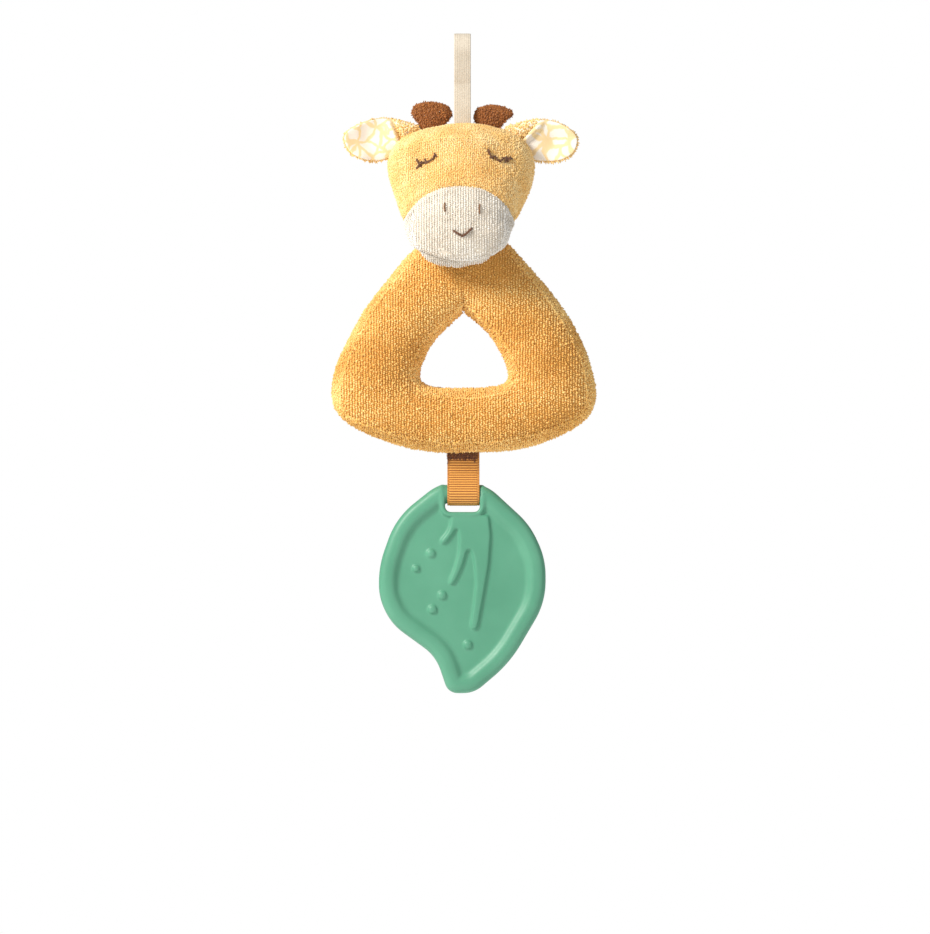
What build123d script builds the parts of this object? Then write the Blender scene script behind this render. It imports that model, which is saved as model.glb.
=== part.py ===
from build123d import *
import math
import os

# A hanging plush rattle: stuffed animal head, gripping ring and leaf teether.
# Frame: +Z up, the face looks along -Y, +X to the viewer's right. The origin is the point where
# a hook carries the tape loop. All sizes are in millimetres.

# ---- Driving dimensions ------------------------------------------------------------------
SKIN = 1.0                # thickness of the plush fabric panels
CLEAR = 0.3               # gap between pieces of different bodies

TAPE_WIDTH = 5.8
TAPE_PLY = 0.6
EYE_RADIUS = 4.0          # inside of the tape loop at its top
EYE_CLOSE_Z = -15.0       # where the two plies of the loop meet
TWIST_Z = -16.0           # the loop twists below this height
STEM_END_Z = -25.7        # bottom of the free tape, just over the head

HEAD_X = -0.4             # the head sits slightly to the viewer's left
HEAD_TOP_Z = -26.4
HEAD_CHIN_Z = -72.7
# height, face side Y, back side Y, half width
HEAD_SECTIONS = (
    (-26.4, -5.0, 6.0, 8.5),
    (-27.2, -8.5, 9.0, 13.4),
    (-29.0, -11.8, 12.0, 17.8),
    (-33.0, -15.2, 14.8, 21.4),
    (-38.0, -17.2, 16.0, 22.8),
    (-43.0, -18.6, 15.8, 23.0),
    (-48.0, -20.3, 14.2, 21.9),
    (-52.0, -22.0, 11.4, 20.6),
    (-55.0, -23.0, 8.0, 19.5),
    (-57.5, -23.8, 3.0, 18.4),
    (-59.5, -24.2, -3.0, 17.5),
    (-62.0, -24.4, -7.6, 16.4),
    (-65.8, -24.0, -10.0, 14.7),
    (-69.0, -22.8, -11.0, 12.0),
    (-71.6, -20.4, -12.4, 7.6),
    (-72.7, -18.2, -14.4, 3.6),
)
SEAM_Y = 1.0              # seam between the face panel and the back of the head
MUZZLE_BACK_Y = -11.5     # the cream snout covers everything in front of this
MUZZLE_TOP = (
    (-19.5, -60.0), (-14.6, -51.9), (-6.7, -47.8), (0.0, -47.1), (6.9, -47.9), (14.0, -52.2), (19.0, -60.0),
)
MUZZLE_LOWER = (
    (17.0, -64.5), (13.4, -66.3), (9.2, -69.0), (0.0, -70.9), (-9.8, -68.9), (-15.3, -66.4), (-19.0, -64.0),
)

RING_X = 0.6
RING_Y = 1.45            # the ring and teether hang so that the whole toy balances under the tape
RING_DEPTH = 20.5
RING_EDGE = 8.4           # rounding of the stuffed tube
RING_TOP_Z = -59.6
# right half of the outer outline, as corners with their rounding radius, from the ring's centre line
RING_OUTER = (
    (8.2, -59.6, 15), (30.1, -83.7, 60), (40.6, -104.7, 25),
    (40.6, -117.2, 10), (22.0, -127.6, 40), (8.0, -129.3, 60),
)
# right half of the hand hole; its top is a single pointed corner
RING_HOLE = ((11.6, -96.5, 14), (15.2, -108.6, 3.6), (6.0, -110.5, 30))
HOLE_TOP = (-84.8, 1.5)

CAPSULE_RADIUS = 10.0
CAPSULE_HEIGHT = 12.0
CAPSULE_WALL = 1.0
CAPSULE_Y = -1.0
CAPSULE_Z = -44.0
BEAD_RADIUS = 1.75
BEAD_CIRCLE = 5.6
BEAD_COUNT = 5

EAR_SEAM_Y = 1.6
EAR_PLY = 1.1
# outline of the left ear flap, in X and Z
EAR_LEFT = (
    (-22.3, -29.2), (-22.6, -26.6), (-25.4, -25.7), (-30.4, -26.9), (-36.0, -29.9), (-37.2, -33.0),
    (-34.6, -36.8), (-30.2, -39.1), (-26.6, -38.9), (-24.6, -35.6),
)
EAR_RIGHT = (
    (21.5, -29.2), (21.8, -26.6), (24.6, -25.7), (29.6, -26.7), (34.8, -29.3), (36.3, -32.8),
    (33.9, -37.0), (29.4, -39.5), (25.9, -39.2), (23.8, -35.6),
)

HORN_Y = 2.4
HORN_PLY = 1.0
HORN_LEFT = (
    (-6.2, -25.4), (-3.6, -23.6), (-6.5, -20.9), (-10.5, -20.4), (-14.6, -21.4), (-15.6, -23.9), (-11.5, -26.3),
)
HORN_RIGHT = (
    (5.8, -25.4), (3.6, -23.8), (5.2, -21.9), (9.2, -21.2), (13.6, -22.0), (15.6, -24.2), (11.2, -26.3),
)

RIBBON_WIDTH = 10.0
RIBBON_PLY = 0.5
RIBBON_TOP_Z = -129.9
RIBBON_TWIST_Z = -134.3
RIBBON_SPREAD_Z = -136.0  # where the two plies part round the bar

BAR_RADIUS = 2.9
BAR_Z = -142.75
BAR_CLEAR = 0.2           # the bar turns freely in the ribbon
LEAF_THICK = 7.0
LEAF_EDGE = 2.8
RIM_WIDTH = 6.0
RECESS = 1.7              # depth of the recess on each face
SLOT_HALF = 5.4
SLOT_BOTTOM_Z = -148.3
LIP = 1.1                 # full-thickness lip under the slot
RELIEF = 0.9              # height of the veins and dots over the recess floor
# leaf outline as corners with their rounding radius, clockwise from the top left
LEAF = (
    (-6.8, -139.0, 15), (6.6, -139.0, 15), (21.1, -152.4, 25), (25.9, -162.9, 24), (25.9, -176.4, 24),
    (14.8, -195.2, 40), (3.6, -204.7, 9), (-4.4, -204.7, 4), (-8.3, -193.2, 14), (-22.2, -183.1, 18),
    (-26.0, -174.8, 18), (-26.0, -165.1, 30), (-20.7, -150.1, 25),
)
VEINS = (
    (
        (-1.0, -148.6), (8.3, -148.6), (8.0, -160.3), (6.6, -172.5),
        (3.6, -184.9), (3.4, -176.0), (4.2, -167.4), (1.9, -159.3),
    ),
    ((-2.3, -148.6), (4.0, -148.6), (2.2, -157.6), (-0.6, -164.0), (-3.6, -170.6), (-1.8, -160.4)),
    ((-4.8, -148.6), (-0.5, -148.6), (-1.1, -152.3), (-3.6, -156.0), (-6.4, -157.8), (-4.6, -154.0)),
)
DOTS = (
    (-9.8, -161.2, 1.25), (-14.4, -165.9, 1.0), (-6.3, -174.2, 1.25), (-9.3, -178.6, 1.25), (1.7, -189.6, 1.25),
)

THREAD = 0.45             # radius of the embroidery thread


# ---- Helpers -----------------------------------------------------------------------------
def save(name, shape):
    """Write one named piece."""
    shape.label = name
    export_step(shape, f"parts/{name}.step")


def closed_spline(points, pieces=4):
    """Face in the XZ plane inside a smooth closed curve, kept as a few edges."""
    curve = Edge.make_spline([Vector(x, 0, z) for x, z in points], periodic=True)
    return Face(Wire([curve.trim(i / pieces, (i + 1) / pieces) for i in range(pieces)]))


def rounded(corners):
    """Face in the XZ plane with straight sides and round corners."""
    points = [(x, 0, z) for x, z, radius in corners]
    radii = [radius for x, z, radius in corners]
    return Face(Wire(FilletPolyline(*points, radius=radii, close=True).edges()))


def polygon(points):
    """Face in the XZ plane with straight sides."""
    wire = Wire.make_polygon([Vector(x, 0, z) for x, z in points], close=True)
    return Face(wire)


def grown(face, amount):
    """The same face with its outline moved outwards, or inwards when negative."""
    return offset(face, amount).faces()[0]


def prism(face, y_from, y_to):
    """Run an XZ face along Y between two depths."""
    low, high = sorted((y_from, y_to))
    return extrude(face.moved(Location((0, low, 0))), amount=high - low, dir=(0, 1, 0))


def mirrored(half, x_mid, top=()):
    """Closed list of corners from the right half, with optional corners on the centre line."""
    right = [(x_mid + x, z, radius) for x, z, radius in half]
    left = [(x_mid - x, z, radius) for x, z, radius in reversed(half)]
    return [(x_mid, z, radius) for z, radius in top] + right + left


def block(x0, x1, y0, y1, z0, z1):
    """Box between two corners."""
    centre = ((x0 + x1) / 2, (y0 + y1) / 2, (z0 + z1) / 2)
    return Pos(*centre) * Box(x1 - x0, y1 - y0, z1 - z0)


def thread(points, radius=THREAD):
    """Sewing thread as a chain of round-ended runs."""
    piece = None
    for start, end in zip(points, points[1:]):
        run = Vector(*end) - Vector(*start)
        plane = Plane(origin=start, z_dir=run)
        rod = plane * Cylinder(radius, run.length, align=(Align.CENTER, Align.CENTER, Align.MIN))
        rod = rod + Pos(*start) * Sphere(radius) + Pos(*end) * Sphere(radius)
        piece = rod if piece is None else piece + rod
    return piece


# ---- Head --------------------------------------------------------------------------------
def head_solid(inset):
    """Stuffed head, lofted through ellipses; a positive inset gives the wadding inside the skin."""
    middle = (HEAD_TOP_Z + HEAD_CHIN_Z) / 2
    shrink = 1 - inset / (HEAD_TOP_Z - middle)
    sections = []
    for z, front, back, half in HEAD_SECTIONS:
        height = middle + (z - middle) * shrink
        centre_y = (front + back) / 2
        plane = Plane(origin=(HEAD_X, centre_y, height), z_dir=(0, 0, 1))
        half_y = (back - front) / 2
        inset_here = min(inset, 0.35 * half_y)
        sections.append(plane * Ellipse(half - inset, half_y - inset_here))
    return loft(sections)


def face_y(x, z):
    """Depth of the face surface at a point seen from the front."""
    for upper, lower in zip(HEAD_SECTIONS, HEAD_SECTIONS[1:]):
        if lower[0] <= z <= upper[0]:
            t = (upper[0] - z) / (upper[0] - lower[0])
            front, back, half = (a + (b - a) * t for a, b in zip(upper[1:], lower[1:]))
            bulge = math.sqrt(max(0.0, 1 - ((x - HEAD_X) / half) ** 2))
            return (front + back) / 2 - (back - front) / 2 * bulge
    raise ValueError("height is outside the head")


def capsule_outer(gap):
    """Drum-shaped space that the rattle capsule fills."""
    drum = Cylinder(CAPSULE_RADIUS + gap, CAPSULE_HEIGHT + 2 * gap)
    return Pos(HEAD_X, CAPSULE_Y, CAPSULE_Z) * drum


def head_parts(outer):
    """Skin panels and wadding of the head."""
    inner = head_solid(SKIN)
    skin = outer - inner
    muzzle_tool = prism(polygon(MUZZLE_TOP + MUZZLE_LOWER), -40, MUZZLE_BACK_Y)
    floor = ((-19.0, -80.0), (17.0, -80.0))
    chin_tool = prism(polygon(MUZZLE_LOWER + floor), -40, MUZZLE_BACK_Y)
    behind = block(-40, 40, SEAM_Y, 40, -90, 0)
    save("head_back_panel", skin & behind)
    save("muzzle_panel", skin & muzzle_tool)
    save("chin_panel", skin & chin_tool)
    save("head_front_panel", skin - behind - muzzle_tool - chin_tool)
    save("head_filling", inner - capsule_outer(0.1))


def embroidery(name, strokes, outer):
    """Straight stitches laid on the face; what sinks into the pile is cut away."""
    group = []
    for x0, z0, x1, z1 in strokes:
        start = (x0, face_y(x0, z0) - 0.3, z0)
        end = (x1, face_y(x1, z1) - 0.3, z1)
        group += (thread((start, end)) - outer).solids()
    save(name, Compound(group))


def face_stitches(outer):
    """Closed eyes, nostrils and mouth."""
    left = (
        (-14.2, -38.8, -12.4, -41.6), (-11.9, -39.0, -10.2, -40.3), (-9.6, -38.2, -8.6, -37.2),
        (-14.0, -42.0, -9.2, -38.9),
    )
    right = ((8.2, -35.8, 9.4, -38.8), (10.0, -37.9, 11.6, -39.9), (12.2, -38.3, 13.8, -38.9), (14.2, -38.4, 15.6, -39.8))
    embroidery("eye_left_stitches", left, outer)
    embroidery("eye_right_stitches", right, outer)
    embroidery("nostril_stitches", ((-5.5, -52.6, -5.5, -55.4), (5.3, -53.1, 5.3, -55.9)), outer)
    embroidery("mouth_stitches", ((-2.7, -61.3, -0.1, -62.7), (0.7, -62.8, 3.1, -60.5)), outer)


def rattle():
    """Plastic capsule in two halves with loose beads inside."""
    inside = Cylinder(CAPSULE_RADIUS - CAPSULE_WALL, CAPSULE_HEIGHT - 2 * CAPSULE_WALL)
    drum = Cylinder(CAPSULE_RADIUS, CAPSULE_HEIGHT) - inside
    place = Pos(HEAD_X, CAPSULE_Y, CAPSULE_Z)
    upper = Pos(0, 0, CAPSULE_HEIGHT) * Box(40, 40, 2 * CAPSULE_HEIGHT)
    lower = Pos(0, 0, -CAPSULE_HEIGHT) * Box(40, 40, 2 * CAPSULE_HEIGHT)
    save("rattle_cap", place * (drum & upper))
    save("rattle_base", place * (drum & lower))
    floor = -CAPSULE_HEIGHT / 2 + CAPSULE_WALL + BEAD_RADIUS + 0.05
    for number in range(BEAD_COUNT):
        angle = 2 * math.pi * number / BEAD_COUNT
        spot = Pos(BEAD_CIRCLE * math.cos(angle), BEAD_CIRCLE * math.sin(angle), floor)
        save(f"rattle_bead_{number + 1}", place * spot * Sphere(BEAD_RADIUS))


def flap(name, outline, y_mid, ply):
    """A sewn flap of two fabric layers, front and back."""
    face = closed_spline(outline)
    save(f"{name}_front", prism(face, y_mid - ply, y_mid))
    save(f"{name}_back", prism(face, y_mid, y_mid + ply))


# ---- Ring --------------------------------------------------------------------------------
def ring_solid(inset):
    """Stuffed triangular ring with a hand hole."""
    outer = rounded(mirrored(RING_OUTER, RING_X))
    hole = rounded(mirrored(RING_HOLE, RING_X, (HOLE_TOP,)))
    if inset:
        outer = grown(outer, -inset)
        hole = grown(hole, inset)
    half = RING_DEPTH / 2 - inset
    body = prism(outer, -half, half)
    body = body - prism(hole, -half - 5, half + 5)
    flat_edges = [e for e in body.edges() if abs(abs(e.center().Y) - half) < 0.01]
    body = fillet(flat_edges, RING_EDGE - inset)
    return Pos(0, RING_Y, 0) * body


def ring_parts(outer):
    """Front and back terry panels over the wadding, and the neck seam."""
    inner = ring_solid(SKIN)
    skin = outer - inner
    front = block(-60, 60, RING_Y - 30, RING_Y, -150, -40)
    back = block(-60, 60, RING_Y, RING_Y + 30, -150, -40)
    save("ring_front_panel", skin & front)
    save("ring_back_panel", skin & back)
    save("ring_filling", inner)


def neck_stitches(ring):
    """Short slanted stitches over the ring's top, where it is closed on to the head."""
    group = []
    for number in range(5):
        x = RING_X - 5.6 + 2.8 * number
        z = RING_TOP_Z - 0.028 * (x - RING_X) ** 2 + 0.15
        run = thread(((x - 0.8, RING_Y - 1.0, z), (x + 0.8, RING_Y + 1.0, z)), 0.35)
        group += (run - ring).solids()
    save("neck_stitches", Compound(group))


# ---- Tape, ribbon and teether ------------------------------------------------------------
def teardrop(radius, centre_z, point_z, touch):
    """Face in YZ: a circle whose sides run straight to a blunt tip at half width `touch`."""
    drop = centre_z - point_z
    base = Plane.YZ * Pos(0, centre_z) * Circle(radius)
    swing = math.acos(radius / math.hypot(drop, touch)) + math.atan2(touch, abs(drop))
    side_y = radius * math.sin(swing)
    side_z = -math.copysign(radius * math.cos(swing), drop)
    corners = [
        Vector(0, side_y, centre_z + side_z), Vector(0, touch, point_z),
        Vector(0, -touch, point_z), Vector(0, -side_y, centre_z + side_z),
        Vector(0, 0, centre_z),
    ]
    wedge = Face(Wire.make_polygon(corners, close=True))
    return base + wedge


def run_x(face, width):
    """Run a YZ face along X, centred."""
    return extrude(face.moved(Location((-width / 2, 0, 0))), amount=width, dir=(1, 0, 0))


def hanging_loop():
    """Eye of the tape loop, and the doubled tape under it."""
    outer = teardrop(EYE_RADIUS + TAPE_PLY, -EYE_RADIUS, EYE_CLOSE_Z, TAPE_PLY)
    inner = teardrop(EYE_RADIUS, -EYE_RADIUS, EYE_CLOSE_Z, 0.02)
    eye = run_x(outer, TAPE_WIDTH) - run_x(inner, TAPE_WIDTH + 2)
    half = TAPE_WIDTH / 2
    eye = eye + block(-half, half, -TAPE_PLY, TAPE_PLY, TWIST_Z + CLEAR / 2, EYE_CLOSE_Z)
    stem = block(-half, half, -TAPE_PLY, TAPE_PLY, STEM_END_Z, TWIST_Z - CLEAR / 2)
    save("hanging_loop", eye)
    save("loop_stem", stem)


def ribbon():
    """Grosgrain ribbon: the sewn tab, its bartack and the loop round the teether's bar."""
    half = RIBBON_WIDTH / 2
    tab = block(-half, half, -RIBBON_PLY, RIBBON_PLY, RIBBON_TWIST_Z + CLEAR / 2, RIBBON_TOP_Z)
    save("ribbon_tab", Pos(0, RING_Y, 0) * tab)
    inner_r = BAR_RADIUS + BAR_CLEAR
    outer = teardrop(inner_r + RIBBON_PLY, BAR_Z, RIBBON_SPREAD_Z, RIBBON_PLY)
    inner = teardrop(inner_r, BAR_Z, RIBBON_SPREAD_Z, 0.02)
    loop = run_x(outer, RIBBON_WIDTH) - run_x(inner, RIBBON_WIDTH + 2)
    loop = loop + block(-half, half, -RIBBON_PLY, RIBBON_PLY, RIBBON_SPREAD_Z, RIBBON_TWIST_Z - CLEAR / 2)
    save("ribbon_loop", Pos(0, RING_Y, 0) * loop)
    group = []
    for side in (-1, 1):
        for row in range(3):
            z = RIBBON_TOP_Z - 0.5 - 0.62 * row
            y = RING_Y + side * (RIBBON_PLY + 0.25)
            group += thread(((-half + 0.3, y, z), (half - 0.3, y, z)), 0.25).solids()
    save("ribbon_stitching", Compound(group))


def leaf_relief():
    """Veins and dots that stand over the floor of both recesses."""
    height = LEAF_THICK / 2 - RECESS + RELIEF
    relief = [prism(polygon(vein), -height, height) for vein in VEINS]
    for x, z, radius in DOTS:
        relief.append(Pos(x, 0, z) * Rot(90, 0, 0) * Cylinder(radius, 2 * height))
    return relief


def teether():
    """Silicone leaf: a raised rim round a thinner web, with a round bar for the ribbon."""
    face = rounded(LEAF)
    half = LEAF_THICK / 2
    rim = prism(face, -half, half)
    edges = [e for e in rim.edges() if abs(abs(e.center().Y) - half) < 0.01]
    rim = fillet(edges, LEAF_EDGE)
    window = prism(grown(face, -RIM_WIDTH), -half - 1, half + 1)
    window = window - block(-30, 30, -10, 10, SLOT_BOTTOM_Z - LIP, -130)
    web = prism(grown(face, 0.4 - RIM_WIDTH), RECESS - half, half - RECESS)
    body = rim - window + web
    for piece in leaf_relief():
        body = body + piece
    body = body - block(-SLOT_HALF, SLOT_HALF, -10, 10, SLOT_BOTTOM_Z, -130)
    body = body + Pos(0, 0, BAR_Z) * Rot(0, 90, 0) * Cylinder(BAR_RADIUS, 2 * SLOT_HALF + 0.4)
    save("teether", Pos(0, RING_Y, 0) * body)


# ---- Build -------------------------------------------------------------------------------
os.makedirs("parts", exist_ok=True)
head = head_solid(0)
ring = ring_solid(0)
head_parts(head)
face_stitches(head)
rattle()
flap("ear_left", EAR_LEFT, EAR_SEAM_Y, EAR_PLY)
flap("ear_right", EAR_RIGHT, EAR_SEAM_Y, EAR_PLY)
flap("horn_left", HORN_LEFT, HORN_Y, HORN_PLY)
flap("horn_right", HORN_RIGHT, HORN_Y, HORN_PLY)
ring_parts(ring)
neck_stitches(ring)
hanging_loop()
ribbon()
teether()
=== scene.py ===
import math

import bpy
import numpy as np
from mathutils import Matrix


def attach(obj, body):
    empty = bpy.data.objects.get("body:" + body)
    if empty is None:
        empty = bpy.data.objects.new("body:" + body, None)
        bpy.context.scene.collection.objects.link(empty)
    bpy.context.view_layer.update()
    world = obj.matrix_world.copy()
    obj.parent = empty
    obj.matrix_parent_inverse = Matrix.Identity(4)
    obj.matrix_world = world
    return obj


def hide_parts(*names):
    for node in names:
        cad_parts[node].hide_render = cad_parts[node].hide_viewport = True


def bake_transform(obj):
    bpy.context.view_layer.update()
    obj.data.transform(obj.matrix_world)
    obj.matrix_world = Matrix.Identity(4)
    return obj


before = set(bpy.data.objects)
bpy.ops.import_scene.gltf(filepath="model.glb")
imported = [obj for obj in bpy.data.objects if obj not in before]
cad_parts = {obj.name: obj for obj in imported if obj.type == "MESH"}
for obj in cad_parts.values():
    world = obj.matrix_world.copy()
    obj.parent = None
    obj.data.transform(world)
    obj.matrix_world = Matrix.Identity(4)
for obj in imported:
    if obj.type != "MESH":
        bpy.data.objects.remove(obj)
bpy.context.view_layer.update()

MM = 0.001

# ---- Sizes in millimetres, in the frame of the CAD model -----------------------------------
HEAD_X = -0.4
# height, face side Y, back side Y, half width of the stuffed head
HEAD_SECTIONS = np.array((
    (-27.9, 0.9, 1.1, 0.1), (-28.0, -3.0, 4.6, 3.6), (-28.5, -5.6, 7.2, 7.4), (-29.4, -8.4, 9.6, 11.2),
    (-30.7, -11.2, 12.0, 14.9), (-32.5, -13.4, 13.8, 18.2), (-35.2, -15.2, 15.0, 20.6), (-39.0, -16.9, 15.6, 21.9),
    (-43.0, -18.2, 15.2, 21.8), (-48.0, -19.9, 13.4, 20.6), (-52.0, -21.5, 10.6, 19.2), (-55.0, -22.5, 7.2, 18.2),
    (-57.5, -23.2, 2.2, 16.9), (-59.5, -23.6, -3.6, 16.2), (-62.0, -23.8, -8.2, 15.3), (-65.8, -23.4, -10.6, 13.6),
    (-69.0, -22.0, -11.6, 11.0), (-71.2, -19.6, -13.0, 7.0), (-72.0, -17.4, -14.8, 2.4),
    (-72.1, -16.2, -16.0, 0.1),
))
SEAM_Y = 1.0
MUZZLE_BACK_Y = -11.5
MUZZLE_TOP = np.array((
    (-20.0, -61.5), (-17.9, -56.6), (-15.3, -52.9), (-11.6, -50.0), (-6.9, -47.9), (-0.6, -47.1), (5.5, -47.9),
    (9.6, -49.7), (13.4, -52.7), (15.8, -56.4), (17.5, -61.0),
))
MUZZLE_LOWER = np.array((
    (-21.0, -62.5), (-15.3, -66.4), (-9.8, -68.9), (-3.6, -70.6), (0.0, -70.9), (3.0, -70.8), (9.2, -69.1),
    (13.4, -66.3), (19.0, -62.5),
))
EYE_DIMPLES = ((-11.4, -39.6), (11.6, -38.2))
HEAD_MIDDLE = np.array((HEAD_X, -3.0, -48.0))
HEAD_CENTRE_Z, HEAD_HALF_HEIGHT = -49.5, 23.0

RING_X, RING_Y, RING_HALF = 0.6, 1.45, 10.25
# matching stations down the right half of the ring: outer outline X and Z, then hand hole X and Z
RING_STATIONS = np.array((
    (0.0, -59.7, 0.0, -85.6), (8.8, -61.8, 1.5, -86.7), (15.8, -67.8, 3.4, -88.3),
    (23.8, -76.8, 6.4, -91.0), (31.0, -86.2, 9.3, -94.2), (36.6, -96.6, 12.0, -98.4),
    (39.9, -106.2, 13.7, -102.4), (40.5, -112.4, 14.2, -105.0), (38.8, -117.4, 13.9, -107.2),
    (34.2, -121.5, 12.6, -108.7), (27.7, -124.6, 10.4, -109.6), (19.6, -127.1, 7.4, -110.1),
    (10.0, -128.8, 3.8, -110.4), (0.0, -129.3, 0.0, -110.5),
))
RING_SQUARENESS = 0.88    # below 1 the tube's section is boxier than an ellipse

CLOTH, FLAP_CLOTH, WADDING_INSET = 0.7, 0.4, 1.6
# spacing of the pile's loops, across and along the wales
TERRY_PITCH, MUZZLE_PITCH, BACK_PITCH = (0.84, 0.66), (0.80, 0.56), (0.80, 0.70)
VELOUR_PITCH, HORN_PITCH = (0.58, 0.50), (0.50, 0.46)

TAPE_WIDTH, TAPE_PLY, EYE_RADIUS, EYE_CLOSE_Z, STEM_END_Z = 5.8, 0.6, 4.0, -15.0, -27.4
RIBBON_WIDTH, RIBBON_PLY = 10.0, 0.5
RIBBON_TOP_Z, RIBBON_SPREAD_Z, BAR_Z, BAR_RADIUS, BAR_CLEAR = -128.6, -136.0, -142.75, 2.9, 0.2
RIB_PITCH, PICOT_PITCH, SELVEDGE = 0.80, 0.5, (0.84, 0.90)
THREAD_STEP, THREAD_TWIST = 0.12, 1.3
BARTACK_TOP_Z, BARTACK_ROW, BARTACK_ROWS, BARTACK_TURNS = -129.9, 0.46, 5, 22
LOOSE_END_Z = -131.6
NECK_TOP_Z, NECK_LOW_Z, NECK_WAIST_Z = -53.5, -64.0, -58.9
NECK_SHIFT = (-0.5, -0.6)          # from the ring's centre in X and Y
NECK_STITCHES = 28
THREAD_UP = (0.13, -0.95, 0.27)    # a direction that no thread runs along

LEAF = (
    (-6.8, -139.0, 15), (6.6, -139.0, 15), (21.1, -152.4, 25), (25.9, -162.9, 24), (25.9, -176.4, 24),
    (14.8, -195.2, 40), (3.6, -204.7, 9), (-4.4, -204.7, 4), (-8.3, -193.2, 14), (-22.2, -183.1, 18),
    (-26.0, -174.8, 18), (-26.0, -165.1, 30), (-20.7, -150.1, 25),
)
LEAF_HALF, LEAF_FLOOR = 3.5, 1.8
VEINS = (
    ((-3.9, -149.0), (8.4, -149.0), (9.1, -155.5), (8.4, -164.9), (6.8, -174.3), (5.1, -183.6), (4.3, -185.3),
     (2.9, -185.2), (2.2, -183.6), (2.9, -180.0), (4.0, -170.5), (3.5, -163.5), (2.5, -159.9), (1.6, -159.9),
     (1.0, -162.5), (-0.2, -166.2), (-2.4, -170.6), (-3.5, -171.5), (-4.5, -170.7), (-4.2, -169.4),
     (-2.7, -165.8), (-1.4, -161.0), (-1.1, -156.0), (-1.6, -153.2), (-2.5, -154.8), (-4.2, -157.2),
     (-5.9, -158.8), (-7.1, -158.4), (-7.1, -157.0), (-5.1, -154.9), (-3.9, -152.2)),
)
# X, Z and radius
DOTS = (
    (-9.8, -161.2, 1.25), (-14.4, -165.9, 1.0), (-6.3, -174.2, 1.25), (-9.3, -178.6, 1.25), (1.7, -189.6, 1.25),
)
SLOT_HALF, SLOT_BOTTOM_Z, SLOT_RADIUS = 5.4, -148.3, 1.8
NET_STEP, NET_LOW, NET_HIGH = 0.36, np.array((-27.6, -4.7, -206.4)), np.array((27.6, 4.7, -137.2))


# ---- Mesh helpers ----------------------------------------------------------------------------
def make_mesh(name, points, faces):
    """Object from points in millimetres and lists of faces with the same number of corners."""
    mesh = bpy.data.meshes.new(name)
    groups = [np.asarray(f, dtype=np.int32) for f in faces if len(f)]
    loops = np.concatenate([g.ravel() for g in groups])
    sizes = np.concatenate([np.full(len(g), g.shape[1], dtype=np.int32) for g in groups])
    starts = np.concatenate([[0], np.cumsum(sizes)[:-1]]).astype(np.int32)
    mesh.vertices.add(len(points))
    mesh.vertices.foreach_set("co", (np.asarray(points, dtype=np.float32) * MM).ravel())
    mesh.loops.add(len(loops))
    mesh.loops.foreach_set("vertex_index", loops)
    mesh.polygons.add(len(sizes))
    mesh.polygons.foreach_set("loop_start", starts)
    mesh.polygons.foreach_set("use_smooth", np.full(len(sizes), True))
    mesh.update(calc_edges=True)
    mesh.validate()
    piece = bpy.data.objects.new(name, mesh)
    bpy.context.scene.collection.objects.link(piece)
    return piece


def grid_faces(rows, columns, wrap_rows=False, wrap_columns=False, start=0):
    """Quads of a grid of points stored row by row."""
    r = np.arange(rows if wrap_rows else rows - 1)
    c = np.arange(columns if wrap_columns else columns - 1)
    r, c = np.meshgrid(r, c, indexing="ij")
    r2, c2 = (r + 1) % rows, (c + 1) % columns
    quads = np.stack([r * columns + c, r * columns + c2, r2 * columns + c2, r2 * columns + c], axis=-1)
    return quads.reshape(-1, 4) + start


def thicken(piece, thickness, offset=-1):
    """Give a skin its cloth's thickness: inwards at -1, both ways at 0."""
    solid = piece.modifiers.new("cloth", "SOLIDIFY")
    solid.thickness, solid.offset = thickness * MM, offset


def cut_panel(name, points, quads, paint):
    """A panel cut from a stuffed surface along some of its quads."""
    used, index = np.unique(quads, return_inverse=True)
    piece = make_mesh(name, points[used], [index.reshape(-1, 4)])
    piece.data.materials.append(paint)
    thicken(piece, CLOTH)
    return piece


def open_skin(name, grid, paint, thickness):
    """Cloth over a grid that is closed round its columns only."""
    piece = make_mesh(name, grid.reshape(-1, 3), [grid_faces(*grid.shape[:2], wrap_columns=True)])
    piece.data.materials.append(paint)
    thicken(piece, thickness, 0)
    return piece


def smooth_step(x, low, high):
    """0 below low, 1 above high, and a soft change between."""
    t = np.clip((x - low) / (high - low), 0, 1)
    return t * t * (3 - 2 * t)


def spline(table, count, closed=False):
    """Points evenly spaced by station along a smooth curve through the table's rows."""
    rows = np.asarray(table, dtype=float)
    n = len(rows)
    t = np.linspace(0, n if closed else n - 1, count, endpoint=not closed)
    i = np.minimum(t.astype(int), n - 1 if closed else n - 2)
    f = (t - i)[:, None]
    pick = (lambda k: rows[(i + k) % n]) if closed else (lambda k: rows[np.clip(i + k, 0, n - 1)])
    a, b, c, d = pick(-1), pick(0), pick(1), pick(2)
    return 0.5 * (2 * b + (c - a) * f + (2 * a - 5 * b + 4 * c - d) * f**2 + (3 * b - a - 3 * c + d) * f**3)


def wave_noise(points, size, seed):
    """Smooth random value from -1 to 1 over space, from a few turned waves."""
    local = np.random.default_rng(seed)
    total = np.zeros(len(points))
    for _ in range(6):
        direction = local.normal(size=3)
        direction *= 2 * math.pi / (size * local.uniform(0.7, 1.6)) / np.linalg.norm(direction)
        total += np.sin(points @ direction + local.uniform(0, 2 * math.pi))
    return total / 3.0


def distance_to_line(x, z, line):
    """Distance from points to an open or closed chain of straight runs."""
    best = np.full(x.shape, 1e9)
    for (x0, z0), (x1, z1) in zip(line[:-1], line[1:]):
        dx, dz = x1 - x0, z1 - z0
        t = np.clip(((x - x0) * dx + (z - z0) * dz) / (dx * dx + dz * dz + 1e-12), 0, 1)
        best = np.minimum(best, np.hypot(x - x0 - t * dx, z - z0 - t * dz))
    return best


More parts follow.
